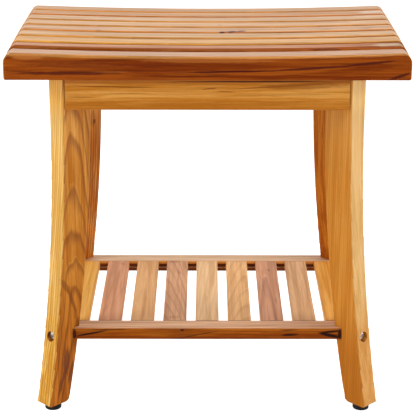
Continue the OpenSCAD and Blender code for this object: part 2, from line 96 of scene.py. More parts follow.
def light_studio():
    """An even white surround, a soft lamp in front, one overhead and one from each side."""
    world = bpy.data.worlds.new("studio")
    world.use_nodes = True
    world.node_tree.nodes.clear()
    g = Graph(world.node_tree)
    shade = g.node("Background")
    g.feed(shade.inputs["Color"], (1.0, 1.0, 1.0, 1.0))
    g.feed(shade.inputs["Strength"], g.math("MULTIPLY_ADD", shown_share(g),
                                            1.0 - SURROUND_LIGHT, SURROUND_LIGHT))
    g.feed(g.node("OutputWorld").inputs["Surface"], shade.outputs["Background"])
    bpy.context.scene.world = world
    for name, (size, place, target, power) in LAMPS.items():
        area_light(name, size, place, target, power)


def lay_floor():
    """A plain white floor that runs far past the view and keeps the bench's soft shadow."""
    mesh = bpy.data.meshes.new("floor")
    sheet = bmesh.new()
    bmesh.ops.create_grid(sheet, x_segments=1, y_segments=1, size=FLOOR_HALF,
                          matrix=Matrix.Translation((0.0, FLOOR_BACK, 0.0)))
    sheet.to_mesh(mesh)
    sheet.free()
    floor = bpy.data.objects.new("floor", mesh)
    bpy.context.scene.collection.objects.link(floor)
    material, g, surface = new_material("floor_white")
    surface.inputs["Base Color"].default_value = FLOOR_WHITE
    surface.inputs["Roughness"].default_value = 0.9
    surface.inputs["Specular IOR Level"].default_value = 0.0
    surface.inputs["Emission Color"].default_value = (1.0, 1.0, 1.0, 1.0)
    g.feed(surface.inputs["Emission Strength"], g.math("MULTIPLY", shown_share(g), FLOOR_GLOW))
    mesh.materials.append(material)


# ---------------------------------------------------------------- shader building blocks

# Sockets of a colour Mix node
MIX_FIRST, MIX_SECOND, MIX_RESULT = 6, 7, 2


class Graph:
    """Adds nodes to one node tree and joins them."""

    def __init__(self, tree):
        self.tree = tree

    def node(self, kind, **settings):
        made = self.tree.nodes.new("ShaderNode" + kind)
        for key, value in settings.items():
            setattr(made, key, value)
        return made

    def feed(self, socket, value):
        """Joins a socket to another one, or gives it a fixed value."""
        if isinstance(value, bpy.types.NodeSocket):
            self.tree.links.new(value, socket)
        else:
            socket.default_value = value

    def math(self, operation, a, b=0.0, c=0.0, clamp=False):
        made = self.node("Math", operation=operation, use_clamp=clamp)
        for socket, value in zip(made.inputs, (a, b, c)):
            self.feed(socket, value)
        return made.outputs[0]

    def vector(self, operation, a, b=(0.0, 0.0, 0.0)):
        made = self.node("VectorMath", operation=operation)
        self.feed(made.inputs[0], a)
        self.feed(made.inputs[1], b)
        return made.outputs["Value" if operation in ("LENGTH", "DOT_PRODUCT") else "Vector"]

    def split(self, vector):
        made = self.node("SeparateXYZ")
        self.feed(made.inputs[0], vector)
        return made.outputs

    def noise(self, vector, scale=1.0, detail=2.0, rough=0.5, warp=0.0):
        made = self.node("TexNoise")
        self.feed(made.inputs["Vector"], vector)
        self.feed(made.inputs["Scale"], scale)
        self.feed(made.inputs["Detail"], detail)
        self.feed(made.inputs["Roughness"], rough)
        self.feed(made.inputs["Distortion"], warp)
        return made.outputs["Fac"]

    def figure(self, place, along, across, **how):
        """Noise whose forms are about `along` mm long and `across` mm wide."""
        drawn = self.vector("MULTIPLY", place, (1 / along, 1 / across, 1 / across))
        return self.noise(drawn, **how)

    def remap(self, value, low, high, to_low=0.0, to_high=1.0):
        """A smooth change from `to_low` to `to_high` as the value goes from `low` to `high`."""
        made = self.node("MapRange", interpolation_type="SMOOTHSTEP")
        for socket, given in zip(made.inputs, (value, low, high, to_low, to_high)):
            self.feed(socket, given)
        return made.outputs[0]

    def mix(self, share, first, second):
        """The first colour with a share of the second."""
        made = self.node("Mix", data_type="RGBA")
        self.feed(made.inputs["Factor"], share)
        self.feed(made.inputs[MIX_FIRST], first)
        self.feed(made.inputs[MIX_SECOND], second)
        return made.outputs[MIX_RESULT]

    def bump(self, surface, height, strength, distance):
        """Gives a surface a fine relief. The distance is in metres."""
        made = self.node("Bump")
        self.feed(made.inputs["Strength"], strength)
        self.feed(made.inputs["Distance"], distance)
        self.feed(made.inputs["Height"], height)
        self.feed(surface.inputs["Normal"], made.outputs[0])

    def own_mm(self, place, centre=(0.0, 0.0, 0.0), turn=(0.0, 0.0, 0.0)):
        """A place in metres as one in mm from `centre`, along axes with that turn."""
        made = self.node("Mapping", vector_type="TEXTURE")
        for socket, value in zip(made.inputs, (place, centre, turn, (MM, MM, MM))):
            self.feed(socket, value)
        return made.outputs[0]


def srgb(red, green, blue):
    """A screen colour from 0 to 255, as the linear colour that a shader takes."""
    def linear(c):
        c /= 255.0
        return c / 12.92 if c <= 0.04045 else ((c + 0.055) / 1.055) ** 2.4
    return linear(red), linear(green), linear(blue), 1.0


def new_material(name):
    """A new material, with its graph and its surface shader."""
    material = bpy.data.materials.new(name)
    material.use_nodes = True
    return material, Graph(material.node_tree), material.node_tree.nodes["Principled BSDF"]


def new_group(name, inputs, outputs):
    """A shader node group with float or vector sockets, and its graph, inputs and outputs."""
    tree = bpy.data.node_groups.new(name, "ShaderNodeTree")
    kinds = {"f": "NodeSocketFloat", "v": "NodeSocketVector"}
    for key, kind in inputs:
        tree.interface.new_socket(key, in_out="INPUT", socket_type=kinds[kind])
    for key in outputs:
        tree.interface.new_socket(key, in_out="OUTPUT", socket_type="NodeSocketFloat")
    g = Graph(tree)
    return tree, g, tree.nodes.new("NodeGroupInput").outputs, tree.nodes.new("NodeGroupOutput").inputs


def grain_group():
    """The grain from a place in mm with X along it: bands, dark streaks, hairs and pores."""
    tree, g, given, out = new_group("wood_grain", [("Place", "v")],
                                    ["Band", "Streak", "Hair", "Pore", "Wander"])
    at = given["Place"]
    band = g.figure(at, 210.0, 7.5, detail=4.0, rough=0.62, warp=0.5)
    streak = g.figure(at, 75.0, 2.1, detail=2.0, rough=0.55, warp=0.4)
    hair = g.figure(at, 26.0, 0.9, detail=3.0, rough=0.7)
    pore = g.figure(at, 6.0, 0.42, detail=1.0, rough=0.5)
    wander = g.figure(at, 130.0, 28.0, detail=2.0, rough=0.5)
    g.feed(out["Band"], g.remap(band, 0.36, 0.64))
    g.feed(out["Streak"], g.remap(streak, 0.54, 0.70))
    g.feed(out["Hair"], hair)
    g.feed(out["Pore"], g.remap(pore, 0.62, 0.74))
    g.feed(out["Wander"], g.math("SUBTRACT", wander, 0.5))
    return tree


def ring_group():
    """Growth rings of a tapering log whose pith runs beside the board: dark late lines, and a
    tone of its own for each ring."""
    line_start, line_peak = 0.45, 0.85
    tree, g, given, out = new_group(
        "growth_rings",
        [("Place", "v"), ("Pith", "v"), ("Taper", "f"), ("Spacing", "f"), ("Wander", "f")],
        ["Line", "Tone"])
    x, y, z = g.split(given["Place"])
    across, deep = g.split(given["Pith"])[1:]
    dy, dz = g.math("SUBTRACT", y, across), g.math("SUBTRACT", z, deep)
    radius = g.math("SQRT", g.math("ADD", g.math("MULTIPLY", dy, dy), g.math("MULTIPLY", dz, dz)))
    reach = g.math("ADD", g.math("MULTIPLY_ADD", x, given["Taper"], radius), given["Wander"])
    phase = g.math("DIVIDE", reach, given["Spacing"])
    part = g.math("FRACT", phase)
    g.feed(out["Line"], g.math("MULTIPLY", g.remap(part, line_start, line_peak),
                               g.remap(part, line_peak, 1.0, 1.0, 0.0)))
    whole = g.node("TexWhiteNoise", noise_dimensions="1D")
    g.feed(whole.inputs["W"], g.math("FLOOR", phase))
    g.feed(out["Tone"], whole.outputs["Value"])
    return tree


def mark_group():
    """A ragged streak or knot: an ellipsoid in mm that leans as it runs along the grain."""
    tree, g, given, out = new_group(
        "ragged_mark", [("Place", "v"), ("Centre", "v"), ("Size", "v"), ("Lean", "v"), ("Rag", "f")],
        ["Mask"])
    away = g.vector("SUBTRACT", given["Place"], given["Centre"])
    lean = g.node("VectorMath", operation="SCALE")
    g.feed(lean.inputs[0], given["Lean"])
    g.feed(lean.inputs["Scale"], g.split(away)[0])
    away = g.vector("SUBTRACT", away, lean.outputs[0])
    reach = g.vector("LENGTH", g.vector("DIVIDE", away, given["Size"]))
    ragged = g.figure(given["Place"], 14.0, 1.6, detail=3.0, rough=0.6)
    reach = g.math("MULTIPLY_ADD", g.math("SUBTRACT", ragged, 0.5), given["Rag"], reach)
    g.feed(out["Mask"], g.remap(reach, 0.5, 1.0, 1.0, 0.0))
    return tree


def wear_and_sheen_group():
    """Where an arris turns between a board's flat faces, lighter here and there: partly abraded,
    and partly a painted sheen.
    """
    tree, g, given, out = new_group(
        "worn_arris",
        [("Normal", "v"), ("Place", "v"), ("Along", "v"), ("Across", "v"), ("Out", "v")], ["Mask"])
    flat = 0.0
    for key in ("Along", "Across", "Out"):
        turned = g.math("ABSOLUTE", g.vector("DOT_PRODUCT", given["Normal"], given[key]))
        flat = g.math("MAXIMUM", flat, turned)
    rubbed_and_sheen = g.figure(given["Place"], 30.0, 9.0, detail=3.0, rough=0.6)
    g.feed(out["Mask"], g.math("MULTIPLY", g.remap(flat, 0.93, 0.76),
                               g.remap(rubbed_and_sheen, 0.35, 0.65)))
    return tree


def saddle_group():
    """Depth below the dished top and the round ends of a seat slat, from its half length and
    half height in mm. The dish is one large arc. The measure grows faster on the round ends,
    and reads a little less to the left and more to the right, where less light falls in."""
    dish_radius, dip = 6174.5, 4.2
    round_end, round_drop = 13.0, 12.72
    end_rise, slant = 2.5, 0.003
    tree, g, given, out = new_group(
        "below_saddle", [("Place", "v"), ("HalfLength", "f"), ("HalfHeight", "f")], ["Depth"])
    along, _, up = g.split(given["Place"])
    x = g.math("ABSOLUTE", along)
    middle = g.math("SUBTRACT", given["HalfHeight"], dip)
    surface = g.math("MULTIPLY_ADD", g.math("MULTIPLY", x, x), 1 / (2 * dish_radius), middle)
    dish = g.math("SUBTRACT", surface, up)
    round_start = g.math("SUBTRACT", given["HalfLength"], round_end)
    round_middle = g.math("SUBTRACT", given["HalfHeight"], round_drop)
    past = g.math("MAXIMUM", g.math("SUBTRACT", x, round_start), 0.0)
    over = g.math("MAXIMUM", g.math("SUBTRACT", up, round_middle), 0.0)
    corner = g.math("SQRT", g.math("ADD", g.math("MULTIPLY", past, past),
                                   g.math("MULTIPLY", over, over)))
    end = g.math("MULTIPLY_ADD", corner, -end_rise, end_rise * round_end)
    under = g.math("MINIMUM", dish, end)
    g.feed(out["Depth"], g.math("MULTIPLY_ADD", along, slant, under))
    return tree


# How squarely a face looks outwards where a leg's outer edge begins and where it is full
EDGE_TURN = (0.6, 0.85)


def edge_group():
    """A run of a leg's outer edge, which faces `Out`: it fades in from `Start` to `Full`."""
    tree, g, given, out = new_group(
        "outer_edge", [("Normal", "v"), ("Out", "v"), ("Along", "f"), ("Start", "f"), ("Full", "f")],
        ["Share"])
    turned = g.vector("DOT_PRODUCT", given["Normal"], given["Out"])
    g.feed(out["Share"], g.math("MULTIPLY", g.remap(turned, *EDGE_TURN),
                                g.remap(given["Along"], given["Start"], given["Full"])))
    return tree


def blotch_group():
    """Broad blotches, such as smudges or dust, and a fine grit. Both scales are per mm."""
    tree, g, given, out = new_group(
        "blotch_and_grit",
        [("Place", "v"), ("Broad", "f"), ("BroadDetail", "f"), ("BroadRough", "f"), ("Fine", "f"),
         ("FineDetail", "f")], ["Blotch", "Grit"])
    g.feed(out["Blotch"], g.noise(given["Place"], scale=given["Broad"],
                                  detail=given["BroadDetail"], rough=given["BroadRough"]))
    g.feed(out["Grit"], g.noise(given["Place"], scale=given["Fine"],
                                detail=given["FineDetail"], rough=0.6))
    return tree


# Each effect is built once, and placed in every material that shows it
GROUPS = {"grain": grain_group(), "rings": ring_group(), "mark": mark_group(),
          "wear_and_sheen": wear_and_sheen_group(), "saddle": saddle_group(), "edge": edge_group(),
          "blotch": blotch_group()}


def use_group(g, key, **values):
    """Places a group in a graph with its values, and returns its outputs."""
    made = g.node("Group")
    made.node_tree = GROUPS[key]
    for name, value in values.items():
        g.feed(made.inputs[name], value)
    return made.outputs


# ---------------------------------------------------------------- wood

# A board's own axes in the frame: along the grain, across it and out of the face
ALONG_X = ((1, 0, 0), (0, 1, 0), (0, 0, 1))
ALONG_Y = ((0, 1, 0), (-1, 0, 0), (0, 0, 1))
UPRIGHT_ALONG_X = ((1, 0, 0), (0, 0, 1), (0, -1, 0))
UPRIGHT_ALONG_Y = ((0, 1, 0), (0, 0, 1), (1, 0, 0))
# Numbers of those axes
ALONG, ACROSS, OUT = 0, 1, 2
UP, FRONT = (0, 0, 1), (0, -1, 0)

# How far apart in the grain two boards are cut, for each step of their seed (mm)
SEED_STEP = (1371.0, 97.3, 53.9)
# How strongly the tone of each ring and the hairs shift a board between light and middle
RING_SHIFT, HAIR_SHIFT = 1.2, 2.0
# Screen colour of the lighter arrises: partly abraded, and partly a painted sheen
WORN_AND_SHEEN = (226, 172, 112)
# End grain: its screen colour, how far it shows, and how squarely a face looks along the grain
# where it begins and where it is full
END_GRAIN, END_SHARE, END_TURN = (126, 68, 28), 0.8, (0.8, 0.98)
# Roughness of the smoothest grain, what hairs and dark grain add to it, and that of the oil
SMOOTHEST, HAIR_ROUGH, DARK_ROUGH, OIL_ROUGH = 0.42, 0.16, 0.18, 0.45
# Relief of the grain: how high hairs stand and how low pores and rings lie, then its strength
# and its depth (m)
HAIR_HIGH, PORE_LOW, RING_LOW = 0.5, 0.8, 0.25
GRAIN_RELIEF, GRAIN_DEPTH = 0.35, 0.00025
# How squarely a face looks forwards where a rail's long side begins and where it is full, and
# how high above the rail's middle its lip does (mm)
SIDE_TURN, LIP = (0.2, 0.7), (1.5, 4.0)


# What the tones of a board can follow, as a measure of the place in the board's own mm and of
# the normal

def own_axis(number):
    """The place along one of the board's own axes."""
    def measure(g, own, normal):
        return g.split(own)[number]
    return measure


def facing(direction):
    """How squarely a face looks in a direction."""
    def measure(g, own, normal):
        return g.vector("DOT_PRODUCT", normal, direction)
    return measure


def off_middle(g, own, normal):
    """How far across the grain from the board's middle line."""
    return g.math("ABSOLUTE", g.split(own)[ACROSS])


def long_side(g, own, normal):
    """How squarely a face looks to the front or the back."""
    return g.math("ABSOLUTE", g.vector("DOT_PRODUCT", normal, FRONT))


def front_lip(g, own, normal):
    """The lip above the groove, on the front of a shelf rail."""
    return g.math("MULTIPLY", g.remap(g.vector("DOT_PRODUCT", normal, FRONT), *SIDE_TURN),
                  g.remap(g.split(own)[OUT], *LIP))


def under_saddle(half_length, half_height):
    """How deep below the dished top and the round ends of a seat slat."""
    def measure(g, own, normal):
        return use_group(g, "saddle", Place=own, HalfLength=half_length,
                         HalfHeight=half_height)["Depth"]
    return measure


def edge_run(out, start, full):
    """A run of a leg's outer edge, which faces `out`: it fades in from `start` to `full`."""
    def measure(g, own, normal):
        return use_group(g, "edge", Normal=normal, Out=out, Along=g.split(own)[ALONG],
                         Start=start, Full=full)["Share"]
    return measure


def toned(g, tones, zones, shade, deep, own, normal):
    """The colour of a board: its tones, as its zones change them, under its light and dark."""
    tones = [srgb(*tone) for tone in tones]
    for measure, low, high, others in zones:
        share = g.remap(measure(g, own, normal), low, high)
        tones = [g.mix(share, tone, srgb(*other)) for tone, other in zip(tones, others)]
    light, middle, dark = tones
    return g.mix(deep, g.mix(shade, light, middle), dark)


def marked(g, colour, marks, own):
    """The colour with streaks, knots and patches where the board has them."""
    for at, size, lean, rag, tint, strength in marks:
        mask = use_group(g, "mark", Place=own, Centre=at, Size=size, Lean=lean, Rag=rag)["Mask"]
        colour = g.mix(g.math("MULTIPLY", mask, strength), colour, srgb(*tint))
    return colour


def worn_and_cut(g, colour, axes, worn, own, normal):
    """The colour with lighter arrises, partly abraded and partly a painted sheen, and the end grain.
    """
    rubbed_and_sheen = use_group(g, "wear_and_sheen", Normal=normal, Place=own, Along=axes[ALONG],
                       Across=axes[ACROSS], Out=axes[OUT])["Mask"]
    colour = g.mix(g.math("MULTIPLY", rubbed_and_sheen, worn), colour, srgb(*WORN_AND_SHEEN))
    cut = g.math("ABSOLUTE", g.vector("DOT_PRODUCT", normal, axes[ALONG]))
    cut_share = g.math("MULTIPLY", g.remap(cut, *END_TURN), END_SHARE)
    return g.mix(cut_share, colour, srgb(*END_GRAIN))


def wood(name, centre, axes, tones, zones=(), pith=(0.0, 0.0, -60.0), taper=0.02, spacing=3.5,
         wander=8.0, ring=0.3, streak=0.5, hair=0.5, pore=0.3, gloss=0.1, oil=None, seed=0,
         marks=(), worn=0.3):
    """Oiled teak. centre (m) and axes place the board's own millimetres. tones are its light,
    middle and dark screen colours, and zones change them: (measure, low, high, tones). The
    rings follow the pith (mm), taper, spacing and wander. ring, streak, hair and pore are the
    strengths of the figure, and worn that of the lighter arrises, partly abraded and
    partly a painted sheen. oil is a thin coat on faces that look up: (low, high, weight). marks
    are (centre, half size, lean, rag, screen colour, strength), and each seed cuts the board
    from another part of the grain."""
    material, g, surface = new_material(name)
    coords = g.node("TexCoord").outputs
    normal = coords["Normal"]
    own = g.own_mm(coords["Object"], centre, Matrix(axes).transposed().to_euler())

    cut_at = g.vector("ADD", own, tuple(seed * step for step in SEED_STEP))
    grain = use_group(g, "grain", Place=cut_at)
    rings = use_group(g, "rings", Place=own, Pith=pith, Taper=taper, Spacing=spacing,
                      Wander=g.math("MULTIPLY", grain["Wander"], wander))
    lines = g.math("MULTIPLY", rings["Line"], ring)
    shade = g.math("MULTIPLY_ADD", g.math("SUBTRACT", rings["Tone"], 0.5), RING_SHIFT * ring,
                   grain["Band"])
    shade = g.math("MULTIPLY_ADD", g.math("SUBTRACT", grain["Hair"], 0.5), HAIR_SHIFT * hair,
                   shade, clamp=True)
    deep = g.math("MAXIMUM", lines, g.math("MULTIPLY", grain["Streak"], streak))
    deep = g.math("MAXIMUM", deep, g.math("MULTIPLY", grain["Pore"], pore))

    colour = toned(g, tones, zones, shade, deep, own, normal)
    colour = marked(g, colour, marks, own)
    colour = worn_and_cut(g, colour, axes, worn, own, normal)
    g.feed(surface.inputs["Base Color"], colour)

    sheen = g.math("MULTIPLY_ADD", grain["Hair"], HAIR_ROUGH, SMOOTHEST)
    sheen = g.math("MULTIPLY_ADD", deep, DARK_ROUGH, sheen, clamp=True)
    g.feed(surface.inputs["Roughness"], sheen)
    surface.inputs["Specular IOR Level"].default_value = gloss
    if oil:
        low, high, weight = oil
        coat = g.remap(g.vector("DOT_PRODUCT", normal, UP), low, high, 0.0, weight)
        g.feed(surface.inputs["Coat Weight"], coat)
        surface.inputs["Coat Roughness"].default_value = OIL_ROUGH
    hollows = g.math("MULTIPLY_ADD", grain["Pore"], PORE_LOW, g.math("MULTIPLY", lines, RING_LOW))
    relief = g.math("SUBTRACT", g.math("MULTIPLY", grain["Hair"], HAIR_HIGH), hollows)
    g.bump(surface, relief, GRAIN_RELIEF, GRAIN_DEPTH)
    return material


def dress(node, material):
    """Gives a node of the frame its finished material."""
    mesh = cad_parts[node].data
    mesh.materials.clear()
    mesh.materials.append(material)


def dress_board(node, axes, tones, centre=None, **look):
    """Gives a board its own teak, centred on the middle of its box unless a place is given."""
    if centre is None:
        low, high = (Vector(corner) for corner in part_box(node))
        centre = (low + high) / 2
    dress(node, wood(f"teak_{node}", centre, axes, tones, **look))


# ---------------------------------------------------------------- metal and rubber

# Linear colours of the metals, and how far a smudge darkens them
STEEL, BRASS, SMUDGED = (0.78, 0.77, 0.75), (0.73, 0.55, 0.26), 0.72
# Screen colours of the rubber and its dust
RUBBER, DUST = (10, 10, 10), (30, 29, 28)
# Relief of each: its strength and its depth (m)
METAL_RELIEF, METAL_DEPTH = 0.25, 0.00005
RUBBER_RELIEF, RUBBER_DEPTH = 0.3, 0.0001


def turned_metal(name, colour, rough):
    """Turned metal with faint tool marks and smudges."""
    material, g, surface = new_material(name)
    place = g.own_mm(g.node("TexCoord").outputs["Object"])
    skin = use_group(g, "blotch", Place=place, Broad=0.25, BroadDetail=3.0, BroadRough=0.55,
                     Fine=3.0, FineDetail=4.0)
    smudged = tuple(c * SMUDGED for c in colour)
    g.feed(surface.inputs["Base Color"], g.mix(g.remap(skin["Blotch"], 0.35, 0.7),
                                               (*colour, 1.0), (*smudged, 1.0)))
    surface.inputs["Metallic"].default_value = 1.0
    g.feed(surface.inputs["Roughness"], g.math("MULTIPLY_ADD", skin["Grit"], 0.25, rough - 0.12))
    g.bump(surface, skin["Grit"], METAL_RELIEF, METAL_DEPTH)
    return material


def moulded_rubber(name):
    """Black moulded rubber, a little dusty."""
    material, g, surface = new_material(name)
    place = g.own_mm(g.node("TexCoord").outputs["Object"])
    skin = use_group(g, "blotch", Place=place, Broad=0.3, BroadDetail=4.0, BroadRough=0.6,
                     Fine=2.5, FineDetail=3.0)
    g.feed(surface.inputs["Base Color"],
           g.mix(g.remap(skin["Blotch"], 0.45, 0.8), srgb(*RUBBER), srgb(*DUST)))
    surface.inputs["Specular IOR Level"].default_value = 0.15
    g.feed(surface.inputs["Roughness"], g.math("MULTIPLY_ADD", skin["Grit"], 0.25, 0.5))
    g.bump(surface, skin["Grit"], RUBBER_RELIEF, RUBBER_DEPTH)
    return material


# ---------------------------------------------------------------- the bench

# Tones are light, middle and dark. Marks are (centre, half size, lean, rag, colour, strength),
# in mm from the board's middle along its own axes
CORNERS = ("front_left", "front_right", "back_left", "back_right")

# Top of each seat slat, front to back: its tones, pale with a painted sheen over the wood's
# colour, and then its golden arris, where that painted sheen is left off
SEAT = (
    ((204, 160, 126), (176, 134, 104), (118, 66, 40), (206, 138, 68)),
    ((208, 158, 128), (185, 133, 106), (122, 70, 50), (154, 77, 12)),
    ((217, 168, 110), (188, 137, 80), (142, 82, 34), (226, 156, 62)),
    ((214, 172, 130), (186, 144, 98), (140, 86, 42), (218, 148, 66)),
    ((211, 168, 126), (181, 136, 98), (126, 70, 50), (210, 132, 62)),
    ((218, 174, 132), (188, 144, 102), (134, 80, 46), (218, 148, 68)),
    ((216, 176, 136), (186, 144, 104), (134, 84, 46), (214, 144, 62)),
    ((209, 158, 109), (175, 125, 79), (124, 70, 40), (196, 114, 44)),
    ((205, 162, 121), (175, 130, 89), (128, 75, 42), (211, 134, 46)),
)
# Sides of the slats: the front face of the first, those of the second, red wood with painted
# shade in the gap, and all others, painted shade in the gaps
FACE = ((162, 78, 13), (120, 45, 0), (69, 22, 5))
RED_SIDE_SHADE = ((156, 80, 26), (122, 52, 10), (60, 22, 8))
GAP_SHADE = ((158, 90, 30), (126, 64, 14), (70, 30, 8))

# Streaks and lighter patches on the front face of the first slat
STREAK, PALE = (74, 22, 14), (192, 116, 52)
FACE_MARKS = (
    ((-208, -14.5, 12.0), (26, 6, 4.5), (0, 0, 0), 0.5, PALE, 0.7),
    ((-170, -14.5, 6.5), (70, 6, 2.4), (0, 0, 0), 1.0, (96, 34, 12), 0.45),
    ((4, -14.5, 7.6), (100, 6, 3.6), (0, 0, 0), 0.7, (180, 104, 44), 0.6),
    ((-112, -14.5, -6.0), (32, 5, 0.6), (0, 0, 0), 0.4, PALE, 0.6),
    ((-150, -14.5, 1.5), (80, 5, 4.0), (0, 0, 0), 1.2, (102, 36, 12), 0.5),
    ((-60, -14.5, 2.0), (60, 5, 3.4), (0, 0, 0), 1.2, (104, 34, 10), 0.35),
    ((-165, -14.5, -7.6), (76, 5, 2.6), (0, 0, 0), 0.9, (80, 24, 14), 0.8),
    ((-212, -14.5, -5.9), (26, 5, 0.9), (0, 0, -0.03), 0.4, STREAK, 0.6),
    ((-114, -14.5, 8.1), (38, 5, 0.9), (0, 0, 0), 0.5, STREAK, 0.5),
    ((-76, -14.5, -4.8), (76, 5, 0.7), (0, 0, 0), 0.4, STREAK, 0.7),
    ((28, -14.5, -5.4), (76, 5, 1.4), (0, 0, 0.02), 0.4, STREAK, 1.0),
    ((119, -14.5, -1.7), (52, 5, 1.9), (0, 0, 0.067), 0.5, STREAK, 0.85),
    ((188, -14.5, 4.4), (46, 5, 2.0), (0, 0, 0.112), 0.6, STREAK, 0.8),
    ((224, -14.5, -10.8), (16, 6, 2.6), (0, 0, 0.33), 0.5, STREAK, 0.85),
)
# Further marks by slat: a dark run in the second one's arris, pale patches, those at the right
# ends of the second and the eighth a painted sheen, knots and specks
SEAT_MARKS = {
    0: FACE_MARKS,
    1: (((140, -13.0, 13.0), (24, 4, 4), (0, 0, 0), 1.0, (96, 38, 14), 0.8),
        # A whitish patch at the right end: painted sheen
        ((217, 0, 15.0), (24, 11, 6), (0, 0, 0), 1.7, (210, 198, 170), 0.5)),
    4: (((32, -11, 11.5), (22, 5, 4), (0, 0, 0), 1.0, (150, 74, 66), 0.6),
        ((31, -10, 11.5), (8, 4.5, 4), (0, 0.2, 0), 0.7, (48, 10, 20), 1.0),
        ((42, -8, 11.5), (8, 4.0, 4), (0, 0.15, 0), 0.7, (62, 16, 26), 1.0),
        ((18, -13, 11.5), (4, 3, 4), (0, 0, 0), 0.7, (60, 18, 24), 0.95),
        ((-136, -9, 14.0), (6, 2, 4), (0, 0.1, 0), 0.6, (96, 44, 24), 0.8),
        ((-134, 8, 14.0), (18, 3, 4), (0, 0, 0), 0.6, (168, 112, 112), 0.5)),
    5: (((16, -6, 12.0), (3, 2, 4), (0, 0, 0), 0.8, (120, 84, 92), 0.7),),
    # A whitish patch at the right end: painted sheen
    7: (((218, 0, 15.0), (22, 11, 6), (0, 0, 0), 1.7, (222, 208, 196), 0.5),),
}
# How deep under the top a slat's side begins and is full (mm), and its tones. Behind the first
# slat the darker sides are painted shade in the gaps
SIDES = {0: (1.4, 3.4, FACE), 1: (0.3, 0.9, RED_SIDE_SHADE)}
OTHER_SIDE_SHADE = (1.0, 2.0, GAP_SHADE)
# The golden arrises: their tones as shares of the colour, and how far from the slat's middle
# they begin and are full (mm)
ARRIS_TONES, ARRIS = (1.0, 0.84, 0.5), (9.5, 12.2)
# The second slat is redder and duller, and golden only towards the front
RED_SLAT, RED_ARRIS = 1, (-3.0, -5.0)
SEAT_OIL, RED_OIL = (0.8, 0.97, 0.6), (0.8, 0.97, 0.2)
SEAT_GLOSS, RED_GLOSS = 0.05, 0.0


def finish_seat():
    """The nine slats of the seat, with their dished tops."""
    for i, (*top, gold) in enumerate(SEAT):
        node = f"seat_slat_{i + 1}"
        low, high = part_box(node)
        half_length, half_height = ((high[axis] - low[axis]) / 2 / MM for axis in (0, 2))
        shallow, deep, side = SIDES.get(i, OTHER_SIDE_SHADE)
        arris = [tuple(c * share for c in gold) for share in ARRIS_TONES]
        red = i == RED_SLAT
        # The pale top with its painted sheen turns to the golden arris near the slat's long edges
        band = (own_axis(ACROSS), *RED_ARRIS, arris) if red else (off_middle, *ARRIS, arris)
        # Below the top the sides turn darker: behind the first slat this is painted shade in the gaps
        under = (under_saddle(half_length, half_height), shallow, deep, side)
        dress_board(node, ALONG_X, top, zones=(band, under), oil=RED_OIL if red else SEAT_OIL,
                    gloss=RED_GLOSS if red else SEAT_GLOSS, ring=0.22, worn=0.15, seed=i + 1,
                    pith=(0.0, -50.0 + 12.0 * i, -70.0 + 9.0 * (i % 3)),
                    taper=0.012 + 0.004 * (i % 4), marks=SEAT_MARKS.get(i, ()))


# Aprons, midway, close under the seat, where they are darker with painted shade of the seat,
# and low down, and the plain boards that don't show
APRON = ((232, 165, 78), (203, 125, 28), (144, 76, 14))
APRON_SHADED_TOP = ((192, 116, 42), (162, 88, 18), (96, 42, 8))
APRON_LOW = ((204, 130, 44), (182, 106, 17), (124, 62, 10))
PLAIN = ((206, 146, 74), (178, 112, 44), (112, 60, 22))
# The dark line close under the seat, a painted shadow, and the streaks of the front apron
APRON_MARKS = (
    # A painted shadow line close under the seat
    ((52, 15.0, 10), (118, 1.0, 20), (0, 0.002, 0), 0.2, (58, 22, 8), 0.95),
    ((-114, 8.7, 10), (60, 0.8, 20), (0, -0.02, 0), 0.4, (112, 52, 12), 0.8),
    ((-150, -4.0, 10), (22, 0.8, 20), (0, -0.02, 0), 0.5, (120, 58, 14), 0.6),
    ((-96, 0.5, 10), (34, 0.7, 20), (0, 0.01, 0), 0.5, (134, 70, 20), 0.55),
    ((2, 6.4, 10), (12, 0.8, 20), (0, 0.1, 0), 0.6, (118, 54, 14), 0.8),
    ((22, 3.0, 10), (14, 0.8, 20), (0, -0.05, 0), 0.6, (124, 58, 14), 0.7),
    ((84, 9.2, 10), (70, 0.8, 20), (0, 0.058, 0), 0.5, (122, 56, 14), 0.75),
    ((112, 9.5, 10), (66, 4.5, 20), (0, 0.02, 0), 0.9, (146, 78, 16), 0.6),
    ((100, -1.0, 10), (70, 0.7, 20), (0, 0.01, 0), 0.5, (140, 76, 22), 0.5),
)


def finish_aprons():
    """The four boards round the frame, under the seat."""
    turned = (UPRIGHT_ALONG_X, UPRIGHT_ALONG_X, UPRIGHT_ALONG_Y, UPRIGHT_ALONG_Y)
    for i, side in enumerate(("front", "back", "left", "right")):
        node = f"apron_{side}"
        # Close under the seat the aprons turn darker: painted shade of the seat
        dress_board(node, turned[i], APRON, zones=((own_axis(ACROSS), 10.0, 15.0, APRON_SHADED_TOP),
                                                   (own_axis(ACROSS), -4.0, -12.0, APRON_LOW)),
                    pith=(0.0, 60.0, -30.0), taper=0.01, spacing=4.0, ring=0.15, streak=0.3,
                    hair=0.55, seed=20 + i, marks=APRON_MARKS if side == "front" else ())


def finish_hidden_boards():
    """The battens and corner blocks under the seat."""
    for i, side in enumerate(("left", "centre", "right")):
        dress_board(f"seat_batten_{side}", ALONG_Y, PLAIN, seed=30 + i)
    for i, corner in enumerate(CORNERS):
        dress_board(f"corner_block_{corner}", ALONG_X, PLAIN, seed=35 + i)
